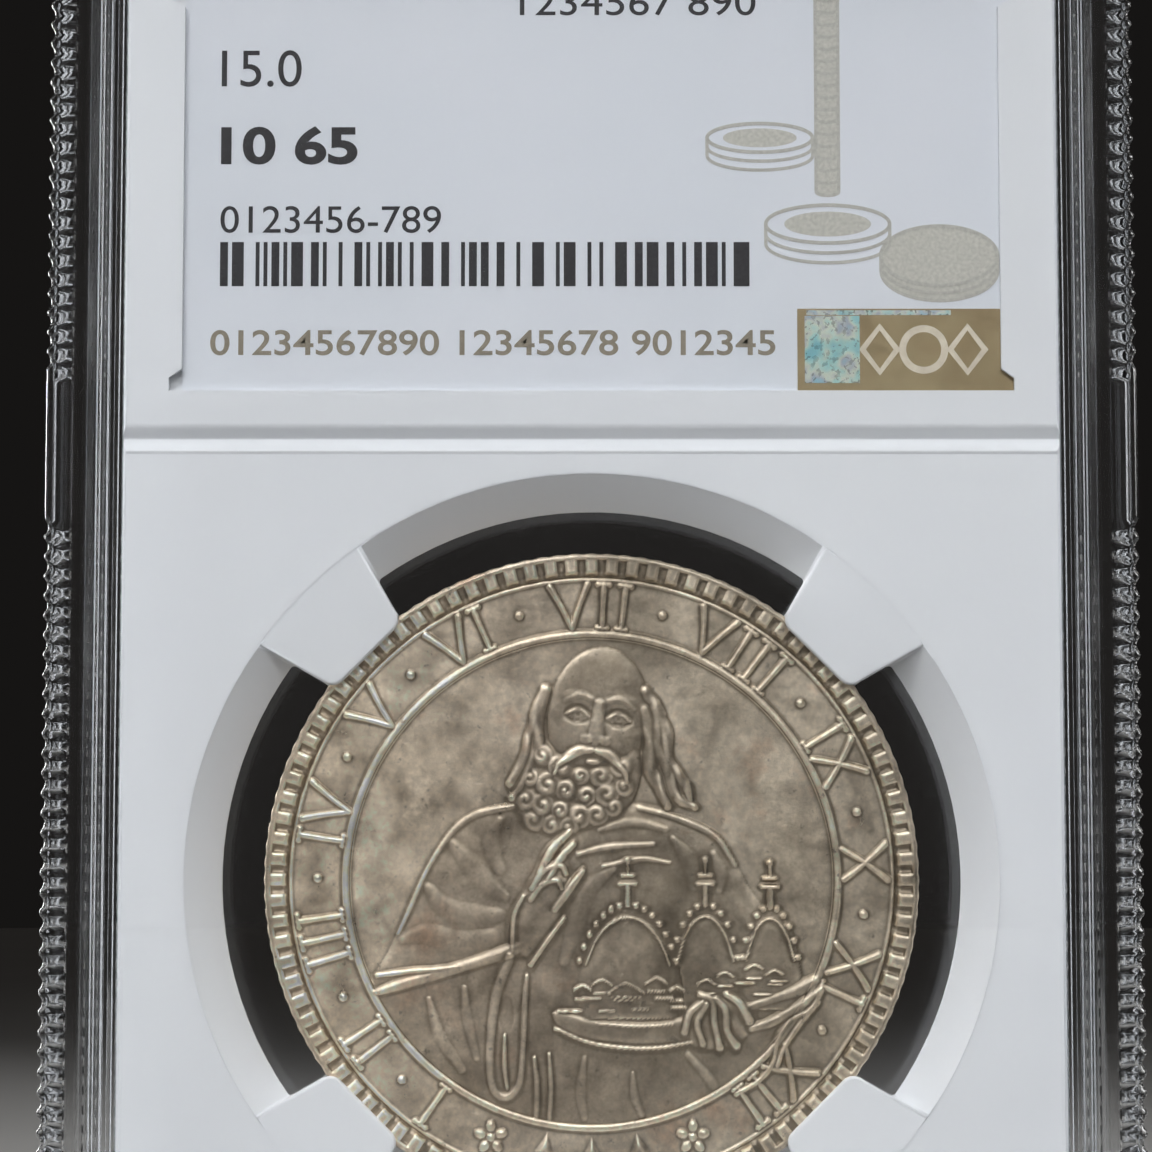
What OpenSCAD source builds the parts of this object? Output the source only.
// Graded coin slab: two clear shells welded round a white insert that holds a coin in four prongs,
// with a printed label and its foil patches above the coin.
// The slab stands on its bottom edge. X is its width, Y its thickness and Z its height. The coin's
// face and the front label look towards -Y. The origin is the middle of the bottom edge.

/* [Slab] */
// Width across the two grip rails
slab_w = 59; // [58.8:0.2:61]
// Height from the bottom edge to the top edge
slab_h = 84; // [83:0.5:88]
// Thickness over the front and rear rails
slab_t = 8.2; // [7.8:0.1:9]
// Radius of the four outside corners
corner_r = 2; // [1.5:0.25:3]

/* [Shells] */
// Thickness of the clear windows
window_t = 1.3; // [1.1:0.1:1.4]
// How far the rails stand proud of the windows
rail_h = 0.8; // [0.7:0.05:0.9]
// Thickness of the outer walls
wall_t = 1.2; // [1.1:0.05:1.2]
// Thickness of the welding tongue on the rear shell
tongue_t = 0.8; // [0.6:0.05:0.9]
// Width of the chamfer round the front and rear edges
edge_chamfer = 0.3; // [0.2:0.05:0.4]

/* [Grip] */
// Distance between two neighbouring grip notches
notch_pitch = 1.06; // [1:0.02:1.2]
// Depth of each grip notch
notch_d = 0.2; // [0.15:0.01:0.24]
// Height of the smooth stretch in the middle of each grip
smooth_h = 8; // [5:0.5:10]

/* [Insert] */
// Gap between the insert and the shells' inner walls
insert_gap = 0.15; // [0.1:0.05:0.2]
// Height of the groove that parts the label from the coin
groove_z = 52.3; // [52.2:0.1:52.8]
// Radius of the coin opening at the insert's front and rear faces
opening_r = 22; // [21.6:0.1:22.2]
// Radius of the coin opening half way through the insert
throat_r = 20; // [19.8:0.1:20.4]
// Width of a prong at its root
prong_root_w = 7.7; // [7.2:0.1:8.1]
// Width of a prong at its tip
prong_tip_w = 5.5; // [5:0.1:5.9]
// How far a prong's lips reach over the coin
prong_lip = 0.6; // [0.5:0.05:0.8]

/* [Coin] */
// Diameter of the coin
coin_d = 35.5; // [35.3:0.1:35.6]
// Thickness of the coin over its rims
coin_t = 1.9; // [1.7:0.05:2]
// Height of the coin's centre above the bottom edge
coin_z = 28.85; // [28.5:0.05:28.9]
// Depth of the coin's fields below its rims
field_d = 0.25; // [0.15:0.05:0.3]
// Play between the coin and the prongs, all round
coin_play = 0.05; // [0.03:0.01:0.08]

/* [Labels] */
// Width of both paper labels
label_w = 45.5; // [45:0.1:45.5]
// Height of both paper labels
label_h = 22.6; // [22.4:0.1:22.8]
// Thickness of both paper labels
label_t = 0.25; // [0.2:0.01:0.28]
// How far the front label lies to the right of the middle
label_shift = 0.4; // [-0.1:0.1:0.4]
// Thickness of the foil patches
foil_t = 0.04; // [0.03:0.01:0.05]

/* [Hidden] */
$fn = 96;
over = 1;                                     // how far a cutting shape runs past what it cuts

// The cavity, and the walls that ring it. Distances called inset are measured inwards from the
// slab's outline, in the plane of its face.
face_y = slab_t / 2;                          // rails' outer faces
window_y = face_y - rail_h;                   // windows' outer faces
cavity_y = window_y - window_t;               // windows' inner faces
tongue_inset = wall_t + 0.05;
inner_wall_inset = 2.6;
inner_wall_end = 3.7;
insert_inset = inner_wall_end + insert_gap;
inner_corner_r = 0.5;

// The rail's inner side steps down to the window in two bevels with a narrow ledge between them.
bevel_h = rail_h / 2;
upper_bevel_inset = 3.05;
ledge_inset = upper_bevel_inset + bevel_h;
lower_bevel_inset = ledge_inset + 0.2;
window_inset = lower_bevel_inset + bevel_h;

// The insert
insert_w = slab_w - 2 * insert_inset;
insert_h = slab_h - 2 * insert_inset;
insert_y = cavity_y - 0.05;                   // half its thickness, just clear of the windows
insert_chamfer = 0.3;
groove_d = 0.45;
groove_top = groove_z + 1.3;
groove_shoulder = [0.1, groove_z + 1];        // the upper side rolls over at this depth and height
groove_floor = [groove_z + 0.42, groove_z + 0.54];
groove_bottom = groove_z - 0.18;
crease_z = groove_z - 0.35;                   // a fine crease runs under the groove
crease_size = [0.14, 0.1];
prong_tip_r = coin_d / 2 - prong_lip;
prong_slope = 0.4;                            // how far a prong's faces fall from root to tip
prong_corner_r = 0.8;
prong_angles = [45, 135, 225, 315];

// The label slots: each label lies on a slot's floor, behind lips that leave a window over it. The
// window's corners are relieved, so a little more of the label shows there.
lip_t = 0.3;
slot_w = 46.4;
slot_h = label_h + 0.2;
slot_d = lip_t + label_t + 0.05;
aperture_w = 44.7;
aperture_z = 55.4;
aperture_h = label_h - 0.1;
relief_reach = 0.7;
relief_h = 0.7;
relief_rise = 0.5;
foil_size = [11.9, 4.5];
square_size = [3, 3.7];
square_margin = 0.4;
rear_hologram_margin = 1.4;

// The grip notches: the round cutters stand mostly outside the slab.
notch_r = 0.5;
notch_margin = 5;                             // plain length left next to each corner
smooth_low = groove_z - smooth_h / 2;
smooth_high = groove_z + smooth_h / 2;
low_notches = floor((smooth_low - notch_margin) / notch_pitch);
high_notches = floor((slab_h - notch_margin - smooth_high) / notch_pitch);
notch_heights = [for (i = [0 : low_notches - 1]) smooth_low - (i + 0.5) * notch_pitch,
                 for (i = [0 : high_notches - 1]) smooth_high + (i + 0.5) * notch_pitch];

clear = [0.80, 0.82, 0.84, 0.35];
insert_white = [0.86, 0.88, 0.90];
coin_silver = [0.62, 0.58, 0.50];
paper_white = [0.85, 0.88, 0.94];
foil_bronze = [0.53, 0.45, 0.31];
hologram_green = [0.55, 0.78, 0.74];
hologram_silver = [0.72, 0.75, 0.78];

// The slab's outline in the plane of its face, drawn in by inset.
module outline(inset, r) {
    half_w = slab_w / 2 - inset;
    low = inset;
    high = slab_h - inset;
    for (x = [-half_w + r, half_w - r])
        for (z = [low + r, high - r])
            translate([x, z])
                circle(r);
    translate([-half_w + r, low])
        square([2 * half_w - 2 * r, high - low]);
    translate([-half_w, low + r])
        square([2 * half_w, high - low - 2 * r]);
}

// The same outline with the grip notches cut into its two long sides.
module grip_outline() {
    difference() {
        outline(0, corner_r);
        for (side = [-1, 1])
            for (z = notch_heights)
                translate([side * (slab_w / 2 + notch_r - notch_d), z])
                    circle(notch_r, $fn = 24);
    }
}

// Stands a flat shape up in the plane of the slab's face, from y_from back to y_to.
module slab_plate(y_from, y_to) {
    translate([0, y_to, 0])
        rotate([90, 0, 0])
            linear_extrude(y_to - y_from)
                children();
}

// A ring between two outlines, from y_from back to y_to.
module wall_ring(outer_inset, outer_r, inner_inset, inner_r, y_from, y_to) {
    slab_plate(y_from, y_to)
        difference() {
            outline(outer_inset, outer_r);
            outline(inner_inset, inner_r);
        }
}

function reversed(points) = [for (i = [len(points) - 1 : -1 : 0]) points[i]];

// A solid whose width and height both follow one profile through the slab's thickness. The profile
// is a list of [inset, y] points, so its sides slope alike and meet in mitred corners.
module mitred_block(profile) {
    across = concat([for (p = profile) [slab_w / 2 - p[0], p[1]]],
                    [for (p = reversed(profile)) [p[0] - slab_w / 2, p[1]]]);
    upward = concat([for (p = profile) [p[1], slab_h - p[0]]],
                    [for (p = reversed(profile)) [p[1], p[0]]]);
    intersection() {
        translate([0, 0, -over])
            linear_extrude(slab_h + 2 * over)
                polygon(across);
        translate([-slab_w / 2 - over, 0, 0])
            rotate([90, 0, 90])
                linear_extrude(slab_w + 2 * over)
                    polygon(upward);
    }
}

// The block that a shell's outer face is cut from: full size at the joint, chamfered at the face.
module outer_block() {
    intersection() {
        slab_plate(-face_y, 0)
            grip_outline();
        mitred_block([[edge_chamfer, -face_y], [0, -face_y + edge_chamfer], [0, over]]);
    }
}

// The recess in front of the window, with its two bevels.
module window_recess() {
    mitred_block([
        [upper_bevel_inset - over, -face_y - over],
        [upper_bevel_inset, -face_y],
        [ledge_inset, -face_y + bevel_h],
        [lower_bevel_inset, -face_y + bevel_h],
        [window_inset, -window_y],
    ]);
}

// A bar across the slab, of the given length, whose section is a list of [y, z] points.
module cross_bar(length, section) {
    translate([-length / 2, 0, 0])
        rotate([90, 0, 90])
            linear_extrude(length)
                polygon(section);
}

// The rib inside a window that stands on the floor of the insert's groove.
module window_rib() {
    floor_y = -insert_y + groove_d;
    root_y = -cavity_y - window_t / 2;
    cross_bar(insert_w - 0.6, [
        [root_y, groove_z + 0.2],
        [-cavity_y, groove_z + 0.2],
        [floor_y, groove_floor[0] + 0.02],
        [floor_y, groove_floor[1] - 0.02],
        [-cavity_y, groove_z + 0.8],
        [root_y, groove_z + 0.8],
    ]);
}

// What both shells share, made as the front one: window, rails, outer wall, inner wall and rib.
module half_shell() {
    difference() {
        outer_block();
        window_recess();
        slab_plate(-cavity_y, over)
            outline(inner_wall_end, inner_corner_r);
        wall_ring(wall_t, corner_r - wall_t, inner_wall_inset, inner_corner_r, -cavity_y, over);
    }
    window_rib();
}

module front_shell() {
    color(clear)
        half_shell();
}

// The rear shell is the front one turned over, with its channel filled and drawn up into a tongue
// that is welded to the floor of the front shell's channel.
module rear_shell() {
    color(clear)
        union() {
            mirror([0, 1, 0])
                half_shell();
            wall_ring(tongue_inset, corner_r - tongue_inset, tongue_inset + tongue_t, inner_corner_r,
                      -cavity_y, cavity_y + window_t / 2);
        }
}

// The coin opening: two cones that meet half way through the insert.
module coin_opening() {
    slope = (opening_r - throat_r) / insert_y;
    reach = insert_y + over;
    reach_r = throat_r + slope * reach;
    translate([0, 0, coin_z])
        rotate([90, 0, 0])
            rotate_extrude()
                polygon([
                    [0, -reach],
                    [reach_r, -reach],
                    [throat_r, 0],
                    [reach_r, reach],
                    [0, reach],
                ]);
}

// One prong's outline, pointing along +X from its round-cornered tip to its root.
module prong_outline() {
    tip_half_w = prong_tip_w / 2;
    root_half_w = prong_root_w / 2;
    corner_x = prong_tip_r + prong_corner_r;
    root_x = opening_r + over / 2;
    polygon([
        [corner_x, -tip_half_w],
        [opening_r, -root_half_w],
        [root_x, -root_half_w],
        [root_x, root_half_w],
        [opening_r, root_half_w],
        [corner_x, tip_half_w],
    ]);
    for (side = [-1, 1])
        translate([corner_x, side * (tip_half_w - prong_corner_r)])
            circle(prong_corner_r);
    translate([prong_tip_r, -tip_half_w + prong_corner_r])
        square([prong_corner_r + over, prong_tip_w - 2 * prong_corner_r]);
}

// The four prongs, with faces that fall a little towards the coin.
module prongs() {
    tip_y = insert_y - prong_slope;
    slope = prong_slope / (opening_r - prong_tip_r);
    inner_r = prong_tip_r - over;
    inner_y = tip_y - slope * over;
    outer_r = opening_r + over;
    translate([0, 0, coin_z])
        rotate([90, 0, 0])
            intersection() {
                translate([0, 0, -insert_y])
                    linear_extrude(2 * insert_y)
                        for (a = prong_angles)
                            rotate(a)
                                prong_outline();
                rotate_extrude()
                    polygon([
                        [inner_r, -inner_y],
                        [opening_r, -insert_y],
                        [outer_r, -insert_y],
                        [outer_r, insert_y],
                        [opening_r, insert_y],
                        [inner_r, inner_y],
                    ]);
            }
}

// The groove across the front face of the insert, and the fine crease under it.
module insert_groove() {
    length = insert_w + 2 * over;
    outer_y = -insert_y - over;
    floor_y = -insert_y + groove_d;
    cross_bar(length, [
        [outer_y, groove_bottom],
        [-insert_y, groove_bottom],
        [floor_y, groove_floor[0]],
        [floor_y, groove_floor[1]],
        [-insert_y + groove_shoulder[0], groove_shoulder[1]],
        [-insert_y, groove_top],
        [outer_y, groove_top],
    ]);
    cross_bar(length, [
        [outer_y, crease_z - crease_size[0] / 2],
        [-insert_y, crease_z - crease_size[0] / 2],
        [-insert_y + crease_size[1], crease_z],
        [-insert_y, crease_z + crease_size[0] / 2],
        [outer_y, crease_z + crease_size[0] / 2],
    ]);
}

// A fine crease round the coin opening, across the roots of the prongs.
module opening_crease() {
    translate([0, 0, coin_z])
        rotate([90, 0, 0])
            rotate_extrude()
                polygon([
                    [opening_r - crease_size[0] / 2, insert_y],
                    [opening_r, insert_y - crease_size[1]],
                    [opening_r + crease_size[0] / 2, insert_y],
                    [opening_r + crease_size[0] / 2, insert_y + over],
                    [opening_r - crease_size[0] / 2, insert_y + over],
                ]);
}

// The window over the label, drawn in the plane of the insert's face, with its relieved corners.
module aperture_outline() {
    half_w = aperture_w / 2;
    half_h = aperture_h / 2;
    relief_z = half_h - relief_h;
    corner = [
        [half_w, relief_z - relief_rise],
        [half_w + relief_reach, relief_z],
        [half_w + relief_reach, half_h],
    ];
    right = concat([for (p = reversed(corner)) [p[0], -p[1]]], corner);
    translate([0, aperture_z + half_h])
        polygon(concat(right, [for (p = reversed(right)) [-p[0], p[1]]]));
}

// The slot that the front label lies in, and the window over it.
module label_slot() {
    slab_plate(-insert_y - over, -insert_y + slot_d)
        aperture_outline();
    translate([-slot_w / 2, -insert_y + lip_t, aperture_z])
        cube([slot_w, slot_d - lip_t, slot_h]);
}

// The insert's plate, chamfered round its front and rear faces.
module insert_plate() {
    chamfer_inset = insert_inset + insert_chamfer;
    chamfer_y = insert_y - insert_chamfer;
    intersection() {
        slab_plate(-insert_y, insert_y)
            outline(insert_inset, inner_corner_r);
        mitred_block([
            [chamfer_inset, -insert_y],
            [insert_inset, -chamfer_y],
            [insert_inset, chamfer_y],
            [chamfer_inset, insert_y],
        ]);
    }
}

module coin_insert() {
    color(insert_white)
        difference() {
            union() {
                difference() {
                    insert_plate();
                    coin_opening();
                }
                prongs();
            }
            translate([0, 0, coin_z])
                rotate([90, 0, 0])
                    cylinder(r = coin_d / 2 + coin_play, h = coin_t + 2 * coin_play, center = true);
            for (turn = [0, 1])
                mirror([0, turn, 0]) {
                    insert_groove();
                    opening_crease();
                    label_slot();
                }
        }
}

// The coin: a raised rim round a lower field on both sides, with its edges broken.
module coin() {
    rim_w = 0.85;
    edge_break = 0.12;
    r = coin_d / 2;
    rim_y = coin_t / 2;
    field_y = rim_y - field_d;
    color(coin_silver)
        translate([0, 0, coin_z])
            rotate([90, 0, 0])
                rotate_extrude()
                    polygon([
                        [0, -field_y],
                        [r - rim_w - field_d, -field_y],
                        [r - rim_w, -rim_y],
                        [r - edge_break, -rim_y],
                        [r, -rim_y + edge_break],
                        [r, rim_y - edge_break],
                        [r - edge_break, rim_y],
                        [r - rim_w, rim_y],
                        [r - rim_w - field_d, field_y],
                        [0, field_y],
                    ]);
}

// Where the labels lie: on the floors of their slots.
label_low_z = aperture_z + 0.05;
label_back_y = insert_y - slot_d;
label_face_y = label_back_y + label_t;

module front_label() {
    color(paper_white)
        translate([label_shift - label_w / 2, -label_face_y, label_low_z])
            cube([label_w, label_t, label_h]);
}

// The foil patch in the label's lower right corner.
module security_foil() {
    color(foil_bronze)
        translate([label_shift + label_w / 2 - foil_size[0], -label_face_y - foil_t, label_low_z])
            cube([foil_size[0], foil_t, foil_size[1]]);
}

// The hologram on the left end of the foil patch.
module hologram_square() {
    square_t = foil_t / 2;
    left = label_shift + label_w / 2 - foil_size[0] + square_margin;
    low = label_low_z + (foil_size[1] - square_size[1]) / 2;
    color(hologram_green)
        translate([left, -label_face_y - foil_t - square_t, low])
            cube([square_size[0], square_t, square_size[1]]);
}

module rear_label() {
    color(paper_white)
        translate([-label_w / 2, label_back_y, label_low_z])
            cube([label_w, label_t, label_h]);
}

// The large hologram on the rear label.
module rear_hologram() {
    m = rear_hologram_margin;
    color(hologram_silver)
        translate([-label_w / 2 + m, label_face_y, label_low_z + m])
            cube([label_w - 2 * m, foil_t, label_h - 2 * m]);
}

front_shell();
rear_shell();
coin_insert();
coin();
front_label();
security_foil();
hologram_square();
rear_label();
rear_hologram();
